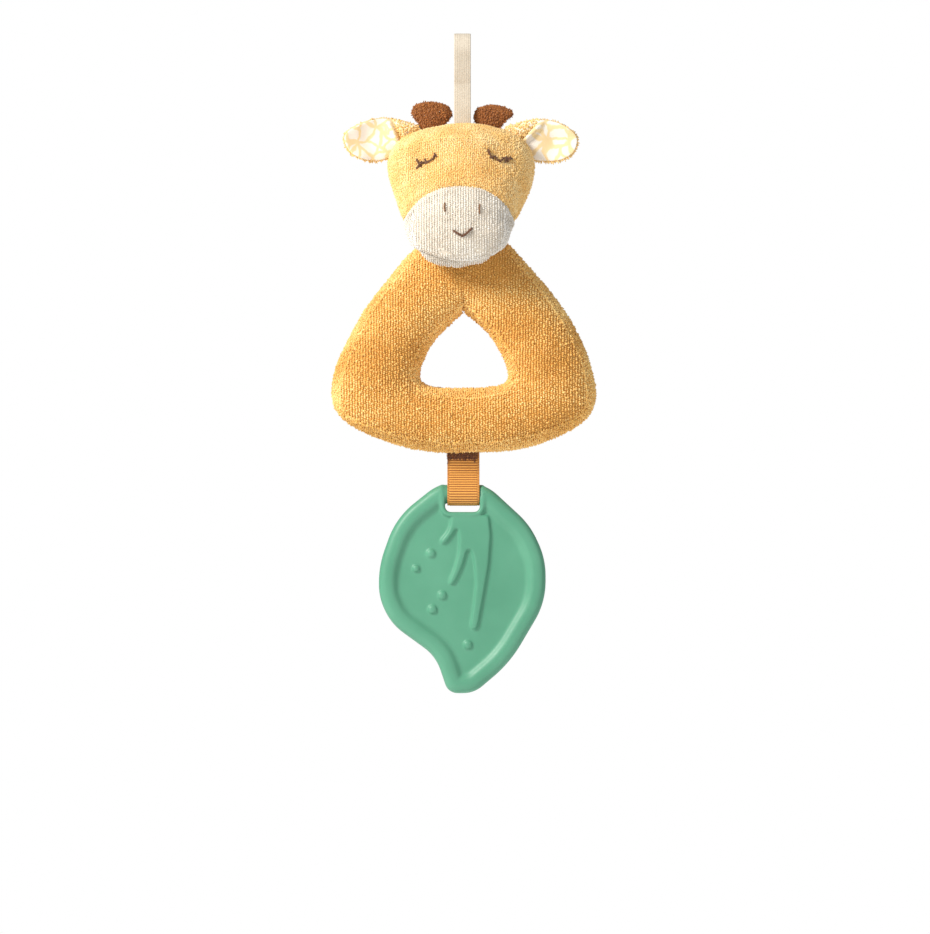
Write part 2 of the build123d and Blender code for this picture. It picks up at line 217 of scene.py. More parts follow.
def inside_polygon(x, z, corners):
    """True where a point is inside a closed outline."""
    inside = np.zeros(x.shape, bool)
    for (x0, z0), (x1, z1) in zip(corners, np.roll(corners, -1, axis=0)):
        crosses = (z0 > z) != (z1 > z)
        inside ^= crosses & (x < (x1 - x0) * (z - z0) / (z1 - z0 + 1e-12) + x0)
    return inside


def round_corners(corners, step=0.35):
    """Points round an outline whose corners are rounded to their own radius."""
    points = []
    count = len(corners)
    for i, (x, z, radius) in enumerate(corners):
        corner = np.array((x, z))
        before = np.array(corners[i - 1][:2]) - corner
        after = np.array(corners[(i + 1) % count][:2]) - corner
        before /= np.linalg.norm(before)
        after /= np.linalg.norm(after)
        half = math.acos(np.clip(before @ after, -1, 1)) / 2
        reach = radius / math.tan(half)
        middle = corner + (before + after) / np.linalg.norm(before + after) * radius / math.sin(half)
        start, end = corner + before * reach - middle, corner + after * reach - middle
        turn = math.pi - 2 * half
        sign = np.sign(start[0] * end[1] - start[1] * end[0])
        for a in np.linspace(0, turn * sign, max(3, int(radius * turn / step))):
            c, s = math.cos(a), math.sin(a)
            points.append(middle + (start[0] * c - start[1] * s, start[0] * s + start[1] * c))
    return np.array(points)


def even_points(line, count, closed=True):
    """The same line with its points evenly spaced by length."""
    if closed:
        line = np.vstack([line, line[:1]])
    steps = np.linalg.norm(np.diff(line, axis=0), axis=1)
    length = np.concatenate([[0], np.cumsum(steps)])
    at = np.linspace(0, length[-1], count, endpoint=not closed)
    return np.stack([np.interp(at, length, line[:, k]) for k in range(line.shape[1])], axis=1)


def grid_normals(points):
    """Unit normals of a grid of points, from its neighbours."""
    along = np.gradient(points, axis=0)
    across = np.gradient(points, axis=1)
    normal = np.cross(along, across)
    return normal / (np.linalg.norm(normal, axis=-1, keepdims=True) + 1e-12)


# ---- Materials -------------------------------------------------------------------------------
class Paint:
    """Small helper to lay out one material's nodes."""

    def __init__(self, name, colour, roughness, **sockets):
        self.material = bpy.data.materials.new(name)
        self.material.use_nodes = True
        self.tree = self.material.node_tree
        self.shader = self.tree.nodes["Principled BSDF"]
        self.shader.inputs["Base Color"].default_value = (*colour, 1)
        self.shader.inputs["Roughness"].default_value = roughness
        for socket, value in sockets.items():
            self.shader.inputs[socket.replace("_", " ")].default_value = value
        self.place = self.tree.nodes.new("ShaderNodeTexCoord").outputs["Object"]

    def node(self, kind, **values):
        made = self.tree.nodes.new(kind)
        for key, value in values.items():
            if key in made.inputs:
                made.inputs[key].default_value = value
            else:
                setattr(made, key, value)
        return made

    def link(self, a, b):
        self.tree.links.new(a, b)

    def noise(self, scale, detail=3.0, roughness=0.55):
        made = self.node("ShaderNodeTexNoise", Scale=scale, Detail=detail, Roughness=roughness)
        self.link(self.place, made.inputs["Vector"])
        return made.outputs["Fac"]

    def ramp(self, value, stops):
        made = self.node("ShaderNodeValToRGB")
        while len(made.color_ramp.elements) < len(stops):
            made.color_ramp.elements.new(0.5)
        for element, (at, colour) in zip(made.color_ramp.elements, stops):
            element.position = at
            element.color = (*colour, 1)
        self.link(value, made.inputs["Fac"])
        return made.outputs["Color"]

    def colour(self, output):
        self.link(output, self.shader.inputs["Base Color"])

    def mix(self, a, share_a, b, share_b):
        """Sum of two values, each times its share."""
        part = self.node("ShaderNodeMath", operation="MULTIPLY")
        self.link(b, part.inputs[0])
        part.inputs[1].default_value = share_b
        total = self.node("ShaderNodeMath", operation="MULTIPLY_ADD")
        self.link(a, total.inputs[0])
        total.inputs[1].default_value = share_a
        self.link(part.outputs[0], total.inputs[2])
        return total.outputs[0]

    def rough(self, value, low, high):
        made = self.node("ShaderNodeMapRange")
        made.inputs["To Min"].default_value = low
        made.inputs["To Max"].default_value = high
        self.link(value, made.inputs["Value"])
        self.link(made.outputs["Result"], self.shader.inputs["Roughness"])

    def bump(self, value, distance, strength=1.0):
        made = self.node("ShaderNodeBump", Distance=distance, Strength=strength)
        self.link(value, made.inputs["Height"])
        self.link(made.outputs["Normal"], self.shader.inputs["Normal"])


def fabric_paint(name, dark, light, fine=1500.0, bump=0.00012):
    """Knitted cloth: two tones mixed by fine and broad noise, with a soft nap."""
    paint = Paint(name, light, 0.9, Sheen_Weight=0.3, Sheen_Roughness=0.5)
    grain = paint.noise(fine, 4.0)
    mixed = paint.mix(grain, 0.6, paint.noise(90.0, 2.0), 0.4)
    paint.colour(paint.ramp(mixed, ((0.35, dark), (0.65, light))))
    paint.rough(grain, 0.8, 1.0)
    paint.bump(grain, bump)
    return paint.material


def pile_paints(name, tones, sheen=0.25):
    """One plain material per tone, for the many loops of a pile."""
    made = []
    for number, tone in enumerate(tones):
        paint = Paint(f"{name}_{number + 1}", tone, 0.85, Sheen_Weight=sheen, Sheen_Roughness=0.45)
        made.append(paint.material)
    return made


YELLOW_TONES = ((0.80, 0.44, 0.10), (0.92, 0.56, 0.165), (0.99, 0.68, 0.25))
FACE_TONES = ((0.92, 0.59, 0.20), (0.97, 0.67, 0.27), (1.0, 0.74, 0.35))
CREAM_TONES = ((0.74, 0.68, 0.59), (0.83, 0.785, 0.71), (0.90, 0.87, 0.81))
BROWN_TONES = ((0.28, 0.088, 0.012), (0.35, 0.115, 0.017), (0.43, 0.155, 0.028))


# ---- Pile ------------------------------------------------------------------------------------
def pick_cells(points, normals, pitch_a, pitch_b, local):
    """Indices of one point for each cell of a grid, taken on the plane that the surface faces most."""
    facing = np.abs(normals).argmax(axis=1)
    chosen = []
    for axis, (a, b) in ((0, (1, 2)), (1, (0, 2)), (2, (0, 1))):
        for side in (-1, 1):
            here = np.nonzero((facing == axis) & (np.sign(normals[:, axis]) == side))[0]
            if not len(here):
                continue
            here = local.permutation(here)
            step_a, step_b = (pitch_a, pitch_b) if axis == 1 else (pitch_a * 0.76, pitch_b * 0.80)
            column = np.round(points[here, a] / step_a).astype(np.int64)
            stagger = 0.5 * (column % 2)
            row = np.round(points[here, b] / step_b + stagger).astype(np.int64)
            off_a = points[here, a] / step_a - column
            off_b = points[here, b] / step_b + stagger - row
            order = np.argsort(off_a**2 + off_b**2, kind="stable")
            depth = 0 if axis == 1 else np.floor(points[here, axis] / 12.0).astype(np.int64)[order] + 50
            key = (depth * 10000 + column[order] + 5000) * 20000 + row[order] + 5000
            first = np.unique(key, return_index=True)[1]
            chosen.append(here[order][first])
    return np.concatenate(chosen)


def tufts(name, base, normal, width, height, materials, seed, lean=0.35, droop=0.25, light=None, stretch=1.0):
    """A pile of short plump loops standing on a surface."""
    local = np.random.default_rng(seed)
    n = len(base)
    helper = np.where(np.abs(normal[:, 2:3]) < 0.9, (0, 0, 1.0), (1.0, 0, 0))
    side = np.cross(normal, helper)
    side /= np.linalg.norm(side, axis=1, keepdims=True)
    other = np.cross(normal, side)
    turn = math.pi / 4 + local.normal(0, 0.22, n)
    tall = height * (0.65 + 0.75 * local.uniform(0, 1, n) ** 2)
    wide = width * local.uniform(0.8, 1.15, n) / np.abs(normal).max(axis=1) ** 0.7
    shift = local.normal(0, lean, (n, 2)) * tall[:, None]
    tip = normal * tall[:, None] + side * shift[:, :1] + other * shift[:, 1:]
    tip = tip + np.array((0, 0, -droop)) * tall[:, None]
    rings = []
    for rise, radius in ((-0.15, 0.34), (0.62, 0.46)):
        for k in range(4):
            angle = turn + k * math.pi / 2
            out = side * np.cos(angle)[:, None] + other * np.sin(angle)[:, None] * stretch
            rings.append(base + tip * rise + out * (wide * radius * 1.3)[:, None])
    points = np.stack(rings + [base + tip], axis=1).reshape(-1, 3)
    first = (np.arange(n) * 9)[:, None]
    k = np.arange(4)
    quads = np.stack([k, (k + 1) % 4, 4 + (k + 1) % 4, 4 + k], axis=1)
    tris = np.stack([4 + k, 4 + (k + 1) % 4, np.full(4, 8)], axis=1)
    quads = (first[:, :, None] + quads[None]).reshape(-1, 4)
    tris = (first[:, :, None] + tris[None]).reshape(-1, 3)
    piece = make_mesh(name, points, [quads, tris])
    for material in materials:
        piece.data.materials.append(material)
    tone = local.integers(0, len(materials), n)
    if light is not None:
        last = len(materials) - 1
        tone = np.clip(np.round(light * last + local.normal(0, 0.45, n)), 0, last).astype(int)
    index = np.tile(np.repeat(tone, 4), 2).astype(np.int32)
    piece.data.polygons.foreach_set("material_index", index)
    return piece


def shaded_pile(name, points, normals, keep, pitch, local, paints, seed, width, height, shade, **shape):
    """Pile on the kept points of a surface, its tones drifting by shade: amount, size and seed."""
    here = np.nonzero(keep)[0]
    chosen = here[pick_cells(points[here], normals[here], *pitch, local)]
    base = points[chosen]
    light = np.clip(0.5 + shade[0] * wave_noise(base, *shade[1:]), 0, 1)
    return tufts(name, base, normals[chosen], width, height, paints, seed, light=light, **shape)


def finish_piece(piece, body, replaces=()):
    """Say what a piece rides on and which CAD nodes it stands for."""
    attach(piece, body)
    if replaces:
        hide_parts(*replaces)


def build_wadding(name, grid, wrap_rows, body, node):
    """White polyester fibre that fills a skin."""
    faces = grid_faces(*grid.shape[:2], wrap_rows, True)[:, ::-1]
    piece = make_mesh(name, grid.reshape(-1, 3), [faces])
    fibre = fabric_paint("wadding_fibre", (0.80, 0.80, 0.78), (0.95, 0.95, 0.93), fine=700.0, bump=0.0004)
    piece.data.materials.append(fibre)
    finish_piece(piece, body, (node,))


# ---- Head ------------------------------------------------------------------------------------
def head_grid(rows, columns, inset=0.0):
    """Points of the head's surface: rows from top to chin, columns round it from the back."""
    table = spline(HEAD_SECTIONS, rows * 4)
    table = even_points(np.column_stack([table[:, 0], table[:, 1:4]]), rows, closed=False)
    z, front, back, half = (table[:, k][:, None] for k in range(4))
    angle = np.linspace(0, 2 * math.pi, columns, endpoint=False)[None] + math.pi / 2
    middle, depth = (front + back) / 2, (back - front) / 2
    shrink = 1 - inset / np.maximum(half, 6)
    x = HEAD_X - 0.7 * (1 - smooth_step(z, -60, -46)) + half * shrink * np.cos(angle)
    y = middle + depth * shrink * np.sin(angle)
    height = HEAD_CENTRE_Z + (z - HEAD_CENTRE_Z) * (1 - inset / HEAD_HALF_HEIGHT) + 0 * x
    return np.stack([x, y, height], axis=-1)


def head_fields(points):
    """Which panel each point of the head belongs to, and how far it is from the seams."""
    x, y, z = points[:, 0], points[:, 1], points[:, 2]
    top = spline(MUZZLE_TOP, 60)
    low = spline(MUZZLE_LOWER, 60)
    front = y < MUZZLE_BACK_Y
    under_top = z < np.interp(x, top[:, 0], top[:, 1])
    over_low = z > np.interp(x, low[:, 0], low[:, 1])
    muzzle = front & under_top & over_low
    chin = front & ~over_low
    to_top = np.where(front, distance_to_line(x, z, top), 99)
    to_low = np.where(front, distance_to_line(x, z, low), 99)
    return muzzle, chin, y > SEAM_Y, to_top, to_low


def head_shaped(points, normals):
    """The head's surface with its seams pulled in and its panels puffed out."""
    flat, normal = points.reshape(-1, 3), normals.reshape(-1, 3)
    muzzle, chin, _, to_top, to_low = head_fields(flat)
    out = 0.35 * wave_noise(flat, 22, 3) + 0.12 * wave_noise(flat, 8, 4)
    out -= 0.55 * np.exp(-((to_top / 0.8) ** 2)) + 0.95 * np.exp(-((to_low / 0.85) ** 2))
    puff = 0.55 * (1 - np.exp(-to_top / 2.2)) + 0.35 * np.exp(-(((to_top - 1.4) / 0.9) ** 2))
    out += np.where(muzzle, puff, 0.0)
    out += np.where(chin, -0.2, 0.0)
    out -= 0.35 * np.exp(-(((flat[:, 1] - SEAM_Y) / 0.8) ** 2))
    for x, z in EYE_DIMPLES:
        away = np.hypot(flat[:, 0] - x, flat[:, 2] - z)
        out -= np.where(flat[:, 1] < 0, 0.9 * np.exp(-((away / 4.5) ** 2)), 0)
    return (flat + normal * out[:, None]).reshape(points.shape)


def outward(points, normals, middle):
    """Turn normals so that they point away from the middle."""
    inwards = np.sum((points - middle) * normals, axis=-1) < 0
    return np.where(inwards[..., None], -normals, normals)


def build_head():
    """Four skin panels, their pile and the wadding."""
    grid = head_grid(190, 300)
    shaped = head_shaped(grid, outward(grid, grid_normals(grid), HEAD_MIDDLE))
    muzzle, chin, back = head_fields(grid.reshape(-1, 3))[:3]
    shaped = shaped.reshape(-1, 3)
    quads = grid_faces(*grid.shape[:2], wrap_columns=True)[:, ::-1]
    yellow = fabric_paint("face_cloth", (0.90, 0.56, 0.18), (0.98, 0.66, 0.26))
    cream = fabric_paint("muzzle_cloth", (0.66, 0.58, 0.47), (0.78, 0.71, 0.60))
    for name, keep, paint, slot, node in (
        ("face_panel", ~muzzle & ~chin & ~back, yellow, "yellow_terry", "head_front_panel"),
        ("head_back", back, yellow, "yellow_terry", "head_back_panel"),
        ("muzzle_cover", muzzle, cream, "cream_terry", "muzzle_panel"),
        ("chin_cover", chin, cream, "cream_terry", "chin_panel"),
    ):
        piece = cut_panel(name, shaped, quads[keep[quads].sum(axis=1) >= 2], paint)
        finish_piece(piece, "head", (node,))
    head_pile()
    wadding = head_grid(60, 90, inset=WADDING_INSET)
    build_wadding("head_wadding", wadding, False, "head", "head_filling")
    return shaped


def head_pile():
    """Short pile on the yellow panels and fine terry on the cream ones."""
    fine = head_grid(900, 1500)
    normals = outward(fine, grid_normals(fine), HEAD_MIDDLE)
    shaped = head_shaped(fine, normals).reshape(-1, 3)
    normals = normals.reshape(-1, 3)
    muzzle, chin, back, to_top, to_low = head_fields(fine.reshape(-1, 3))
    yellow = pile_paints("face_pile", FACE_TONES)
    cream = pile_paints("muzzle_loop", CREAM_TONES, sheen=0.1)
    snout = muzzle & (to_low > 0.5) & (to_top > 0.3)
    local = np.random.default_rng(11)
    # name, where, paints, finish, pitch, height, width as a share of the pitch, lean, stretch
    for name, keep, paints, slot, pitch, high, wide, lean, stretch in (
        ("face_pile", ~muzzle & ~chin & ~back, yellow, "yellow_terry", VELOUR_PITCH, 0.52, 0.90, 0.30, 0.95),
        ("head_back_pile", back, yellow, "yellow_terry", BACK_PITCH, 0.85, 0.72, 0.40, 1.0),
        ("muzzle_pile", snout, cream, "cream_terry", MUZZLE_PITCH, 0.42, 0.66, 0.15, 0.90),
        ("chin_pile", chin & (to_low > 0.5), cream, "cream_terry", MUZZLE_PITCH, 0.42, 0.66, 0.15, 0.90),
    ):
        piece = shaded_pile(name, shaped, normals, keep, pitch, local, paints, 12, pitch[0] * wide, high,
                            (0.45, 9, 5), lean=lean, stretch=stretch)
        finish_piece(piece, "head")


# ---- Ring ------------------------------------------------------------------------------------
def ring_stations():
    """Stations all the way round the ring: outer X and Z, inner X and Z."""
    right = RING_STATIONS.copy()
    left = RING_STATIONS[-2:0:-1].copy()
    left[:, (0, 2)] *= -1
    return np.vstack([right, left])


def ring_grid(rows, columns, inset=0.0):
    """Points of the stuffed tube: rows round the ring, columns round its section."""
    table = spline(ring_stations(), rows, closed=True)
    outer, inner = table[:, :2], table[:, 2:]
    middle, reach = (outer + inner) / 2, (outer - inner) / 2
    half = np.linalg.norm(reach, axis=1, keepdims=True)
    reach = reach * (half - inset) / half
    angle = np.linspace(0, 2 * math.pi, columns, endpoint=False)
    c, s = np.cos(angle), np.sin(angle)
    c, s = (np.sign(v) * np.abs(v) ** RING_SQUARENESS for v in (c, s))
    depth = np.minimum(RING_HALF, half[:, 0] * 1.12) - inset
    x = RING_X + middle[:, :1] + reach[:, :1] * c[None]
    z = middle[:, 1:] + reach[:, 1:] * c[None]
    y = RING_Y + depth[:, None] * s[None]
    return np.stack([x, y, z], axis=-1)


def ring_normals(grid):
    """Normals of the tube, pointing out of it."""
    wrapped = np.concatenate([grid[-1:], grid, grid[:1]], axis=0)
    wrapped = np.concatenate([wrapped[:, -1:], wrapped, wrapped[:, :1]], axis=1)
    normal = grid_normals(wrapped)[1:-1, 1:-1]
    middle = grid.mean(axis=1, keepdims=True)
    return outward(grid, normal, middle)


def ring_shaped(grid, normals):
    """The ring with its uneven stuffing, the pleat over the hand hole and the gathered inner edge."""
    flat, normal = grid.reshape(-1, 3), normals.reshape(-1, 3)
    x, y, z = flat[:, 0] - RING_X, flat[:, 1] - RING_Y, flat[:, 2]
    out = 0.30 * wave_noise(flat, 26, 8) + 0.12 * wave_noise(flat, 9, 9)
    pleat = np.exp(-((x + 0.4) / 0.55) ** 2) * smooth_step(z, -88.0, -85.0) * (1 - smooth_step(z, -80.5, -76.5))
    out -= 0.7 * pleat
    out -= 0.25 * np.exp(-((y / 0.8) ** 2))
    return (flat + normal * out[:, None]).reshape(grid.shape)


def build_ring():
    """Front and back terry panels, their pile and the wadding."""
    grid = ring_grid(360, 120)
    shaped = ring_shaped(grid, ring_normals(grid)).reshape(-1, 3)
    # The ground cloth is painted darker than its loops' tones: painted shade in the gaps between the loops.
    cloth = fabric_paint("ring_cloth_painted_gap_shade", (0.58, 0.28, 0.05), (0.74, 0.40, 0.09))
    quads = grid_faces(*grid.shape[:2], True, True)[:, ::-1]
    front = shaped[quads][:, :, 1].mean(axis=1) <= RING_Y
    for name, keep, node in (("ring_front", front, "ring_front_panel"), ("ring_back", ~front, "ring_back_panel")):
        piece = cut_panel(name, shaped, quads[keep], cloth)
        finish_piece(piece, "ring", (node,))
    ring_pile()
    build_wadding("ring_wadding", ring_grid(160, 48, inset=WADDING_INSET), True, "ring", "ring_filling")


def ring_pile():
    """Terry loops in upright wales over the whole ring."""
    fine = ring_grid(1500, 520)
    normals = ring_normals(fine)
    shaped = ring_shaped(fine, normals).reshape(-1, 3)
    normals = normals.reshape(-1, 3)
    paints = pile_paints("ring_loop", YELLOW_TONES)
    local = np.random.default_rng(21)
    front = shaped[:, 1] <= RING_Y
    for name, keep in (("ring_front_pile", front), ("ring_back_pile", ~front)):
        piece = shaded_pile(name, shaped, normals, keep, TERRY_PITCH, local, paints, 22,
                            TERRY_PITCH[0] * 0.64, 0.74, (0.4, 14, 6), lean=0.26, droop=0.1, stretch=1.1)
        finish_piece(piece, "ring")


# ---- Ears and horns --------------------------------------------------------------------------
EARS = {
    "left": ((-13.8, -28.9), (-16.8, -27.4), (-20.6, -26.4), (-25.4, -26.0), (-30.4, -27.2), (-35.4, -29.8),
             (-36.6, -32.6), (-34.6, -36.4), (-30.2, -38.5), (-26.0, -38.7), (-21.5, -37.2), (-17.0, -34.0)),
    "right": ((13.9, -28.9), (16.6, -27.8), (20.2, -26.8), (24.2, -26.3), (29.6, -27.3), (34.0, -29.8),
              (35.6, -32.6), (34.3, -36.5), (30.5, -38.6), (26.0, -38.9), (21.0, -38.0), (16.8, -34.0)),
}
# the yellow base of each ear ends on a line: X where it meets the top, and how much X changes with height
EAR_BORDER = {"left": (21.6, 0.45), "right": (23.8, 0.95)}
HORNS = {
    "left": ((-6.0, -27.6), (-3.6, -24.8), (-4.6, -22.3), (-7.2, -21.2), (-10.9, -20.9),
             (-14.4, -21.8), (-15.5, -24.2), (-13.6, -27.0), (-11.8, -29.6), (-7.4, -30.0)),
    "right": ((5.2, -28.0), (3.8, -25.6), (4.6, -23.2), (6.8, -22.2), (9.6, -21.8), (13.4, -22.6), (15.4, -24.4),
              (13.0, -26.6), (10.6, -29.4), (7.0, -30.0)),
}
EAR_Y, EAR_TOP_Z, HORN_Y = 1.6, -26.5, 2.4


def flap_grid(outline, rows, columns, first=0.0):
    """Points of a flat patch: rows from the middle to the outline, columns round it."""
    edge = even_points(spline(np.array(outline), 400, closed=True), columns)
    middle = edge.mean(axis=0)
    share = np.linspace(first, 1, rows) ** 0.8
    return middle + (edge - middle)[None] * share[:, None, None], share


def facing(grid, way):
    """Normals of a flap's front (-1) or back (1) cloth."""
    normals = grid_normals(grid)
    return np.where(normals[..., 1:2] * way < 0, -normals, normals)


def ear_sign(side):
    return -1 if side == "left" else 1


def past_border(side, x, z):
    """How far a point is outside the line where the ear's yellow base ends."""
    edge_x, slope = EAR_BORDER[side]
    return ear_sign(side) * x - edge_x - slope * (z - EAR_TOP_Z)


def ear_grid(side, rows, columns, first=0.0):
    """Flat points of an ear, with the share of the way out that each one is at."""
    flat, share = flap_grid(EARS[side], rows, columns, first)
    return flat, share[:, None] + 0 * flat[..., 0]


def ear_layer(side, flat, share, way):
    """Points of the ear's front (-1) or back (1) cloth."""
    x, z = flat[..., 0], flat[..., 1]
    out, border = ear_sign(side) * x, past_border(side, x, z)
    cup = 2.2 * share**2.2 * smooth_step(out, 25.0, 33.0)
    roll = 1.5 * np.exp(-(((border - 1.5) / 1.2) ** 2)) - 0.9 * np.exp(-(((border - 0.1) / 0.45) ** 2))
    roll += 1.2 * smooth_step(-border, -0.2, 1.5)
    roll *= 1 - share**6
    dish = 1.1 * np.exp(-(((out - 29.0) / 3.6) ** 2 + ((z + 33.0) / 3.4) ** 2))
    ripple = 0.18 * wave_noise(np.stack([x, 0 * x, z], -1).reshape(-1, 3), 6, 31).reshape(x.shape)
    puff = np.sqrt(np.clip(1 - share**2.4, 0, 1))
    if way < 0:
        y = EAR_Y - cup - 0.85 * puff - roll * puff + dish * puff + ripple * share
    else:
        y = EAR_Y - cup + 0.25 + 1.25 * puff + ripple * share
    return np.stack([x, y, z], -1)


def pointed_out(flat, normals, share, sharp=6):
    """Normals that turn outwards along the edge, so that the pile fans over it."""
    out = np.stack([flat[..., 0] - flat[..., 0].mean(), 0 * flat[..., 0], flat[..., 1] - flat[..., 1].mean()], -1)
    out /= np.linalg.norm(out, axis=-1, keepdims=True) + 1e-9
    edge = (share**sharp)[..., None]
    mixed = normals * (1 - edge) + out * edge
    return (mixed / np.linalg.norm(mixed, axis=-1, keepdims=True)).reshape(-1, 3)


def build_ear(side):
    """Cupped ear: printed cotton in front, velour behind and over its root, with a rolled pleat between."""
    flat, share = ear_grid(side, 60, 300)
    velour = fabric_paint(f"ear_velour_{side}", (0.76, 0.42, 0.10), (0.88, 0.53, 0.16))
    for part, way, paint, slot in (
        ("face", -1, ear_print(), "printed_cotton"), ("rear", 1, velour, "yellow_terry"),
    ):
        piece = open_skin(f"ear_{side}_{part}", ear_layer(side, flat, share, way), paint, FLAP_CLOTH)
        ear_bend(piece)
        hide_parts(f"ear_{side}_front" if way < 0 else f"ear_{side}_back")
    flat, share = ear_grid(side, 160, 1100, first=0.01)
    root = past_border(side, flat[..., 0], flat[..., 1]) < 0.1
    tones = pile_paints(f"ear_{side}_nap", FACE_TONES)
    for part, way, keep in (("rear", 1, share > -1), ("root", -1, root)):
        grid = ear_layer(side, flat, share, way)
        normals = facing(grid, way)
        here = np.nonzero(keep.ravel())[0]
        points, lean = grid.reshape(-1, 3)[here], pointed_out(flat, normals, share)[here]
        chosen = pick_cells(points, normals.reshape(-1, 3)[here], *VELOUR_PITCH, np.random.default_rng(33))
        pile = tufts(f"ear_{side}_{part}_pile", points[chosen], lean[chosen], 0.46, 0.8, tones, 34)
        ear_bend(pile)


def ear_bend(piece):
    """Bake the piece's placement into its points."""
    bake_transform(piece)


def ear_print():
    """Cream cotton printed with rounded patches between pale yellow lines."""
    paint = Paint("ear_print", (0.9, 0.86, 0.78), 0.85, Sheen_Weight=0.1)
    warp = paint.node("ShaderNodeTexNoise", Scale=210.0, Detail=2.0)
    paint.link(paint.place, warp.inputs["Vector"])
    push = paint.node("ShaderNodeVectorMath", operation="MULTIPLY_ADD")
    paint.link(warp.outputs["Color"], push.inputs[0])
    push.inputs[1].default_value = (0.0035, 0.0035, 0.0035)
    paint.link(paint.place, push.inputs[2])
    cells = paint.node("ShaderNodeTexVoronoi", feature="DISTANCE_TO_EDGE", Scale=230.0)
    paint.link(push.outputs[0], cells.inputs["Vector"])
    stops = ((0.07, (0.86, 0.66, 0.36)), (0.13, (0.86, 0.80, 0.71)))
    paint.colour(paint.ramp(cells.outputs["Distance"], stops))
    weave = paint.noise(2600.0, 3.0)
    paint.rough(weave, 0.75, 0.95)
    paint.bump(weave, 0.00006)
    return paint.material


def build_horn(side):
    """Little brown velour fan, curled a bit to the front along its top."""
    flat, share = flap_grid(HORNS[side], 60, 400, first=0.004)
    x, z = flat[..., 0], flat[..., 1]
    curl = 0.9 * share[:, None] ** 2 * smooth_step(z, -24.5, -20.5)
    puff = np.sqrt(np.clip(1 - share**2.2, 0, 1))[:, None]
    brown = fabric_paint(f"horn_velour_{side}", (0.20, 0.058, 0.008), (0.30, 0.095, 0.014))
    tones = pile_paints(f"horn_{side}_nap", BROWN_TONES, sheen=0.5)
    for part, way in (("front", -1), ("back", 1)):
        y = HORN_Y - curl + way * (1.15 * puff + 0.1)
        grid = np.stack([x, y, z], -1)
        piece = open_skin(f"horn_{side}_{part}_shell", grid, brown, FLAP_CLOTH)
        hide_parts(f"horn_{side}_{part}")
        normals = facing(grid, way)
        lean = pointed_out(flat, normals, share[:, None] + 0 * x, 5)
        points = grid.reshape(-1, 3)
        chosen = pick_cells(points, normals.reshape(-1, 3), *HORN_PITCH, np.random.default_rng(41))
        nap = tufts(f"horn_{side}_{part}_pile", points[chosen], lean[chosen], 0.42, 0.6, tones, 42, lean=0.5)
        for rooted in (piece, nap):
            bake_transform(rooted)


# ---- Straps ----------------------------------------------------------------------------------
def strip_mesh(name, path, width, thick, columns, relief=None, shift=0.0, tone=None):
    """A flat strap running along X-wide rows down a path in YZ, with a relief on both faces."""
    path = np.asarray(path, dtype=float)
    along = np.gradient(path, axis=0)
    along /= np.linalg.norm(along, axis=1, keepdims=True)
    normal = np.stack([along[:, 1], -along[:, 0]], axis=1)
    across = np.linspace(-1, 1, columns)
    rows = len(path)
    lift = np.zeros((rows, columns)) if relief is None else relief(rows, across)
    layers = []
    for way in (1, -1):
        half = (thick / 2 * (1 - 0.35 * np.abs(across) ** 8))[None] + lift
        x = shift + across[None] * width / 2 + 0 * lift
        y = path[:, :1] + normal[:, :1] * half * way
        z = path[:, 1:] + normal[:, 1:] * half * way
        layers.append(np.stack([x, y, z], -1))
    ring = np.concatenate([layers[0], layers[1][:, ::-1]], axis=1)
    quads = [grid_faces(rows, 2 * columns, wrap_columns=True)]
    for row in (0, rows - 1):
        k = np.arange(columns - 1)
        last = 2 * columns - 1
        cap = row * 2 * columns + np.stack([k, k + 1, last - 1 - k, last - k], axis=1)
        quads.append(cap if row else cap[:, ::-1])
    piece = make_mesh(name, ring.reshape(-1, 3), quads)
    # The tone values are stored for the material; on the ribbon they hold painted shade between the ribs and a
    # painted highlight on their tops.
    if tone is not None:
        value = tone(rows, across)
        value = np.concatenate([value, value[:, ::-1]], axis=1)
        layer = piece.data.attributes.new("tone", "FLOAT", "POINT")
        layer.data.foreach_set("value", value.ravel().astype(np.float32))
    return piece


def loop_path(centre, radius, point, gap, far, step):
    """Path in YZ down one ply, round the loop and back up the other."""
    drop = abs(centre - point)
    swing = math.acos(radius / math.hypot(drop, gap)) + math.atan2(gap, drop)
    way = 1 if centre > point else -1
    side = [np.array((-gap, far)), np.array((-gap, point))]
    start = np.array((-radius * math.sin(swing), centre - way * radius * math.cos(swing)))
    turns = [start + 0]
    for a in np.linspace(swing, math.pi, 60):
        turns.append(np.array((-radius * math.sin(a), centre - way * radius * math.cos(a))))
    for a in np.linspace(math.pi, swing, 60):
        turns.append(np.array((radius * math.sin(a), centre - way * radius * math.cos(a))))
    other = [np.array((gap, point)), np.array((gap, far))]
    line = np.array(side + turns + other)
    length = np.linalg.norm(np.diff(line, axis=0), axis=1).sum()
    dense = even_points(line, int(length / step), closed=False)
    window = max(3, int(1.2 / step)) | 1
    kernel = np.hanning(window + 2)[1:-1]
    kernel /= kernel.sum()
    padded = np.vstack([np.repeat(dense[:1], window // 2, 0), dense, np.repeat(dense[-1:], window // 2, 0)])
    return np.stack([np.convolve(padded[:, k], kernel, "valid") for k in range(2)], axis=1)


def weave_paint(name, dark, light):
    """Woven tape: fine warp and weft, slightly uneven colour."""
    paint = Paint(name, light, 0.8, Sheen_Weight=0.15, Sheen_Roughness=0.4)
    grain = paint.noise(1800.0, 4.0)
    mixed = paint.mix(grain, 0.55, paint.noise(160.0, 2.0), 0.45)
    paint.colour(paint.ramp(mixed, ((0.33, dark), (0.66, light))))
    paint.rough(grain, 0.65, 0.9)
    paint.bump(grain, 0.00006)
    return paint.material


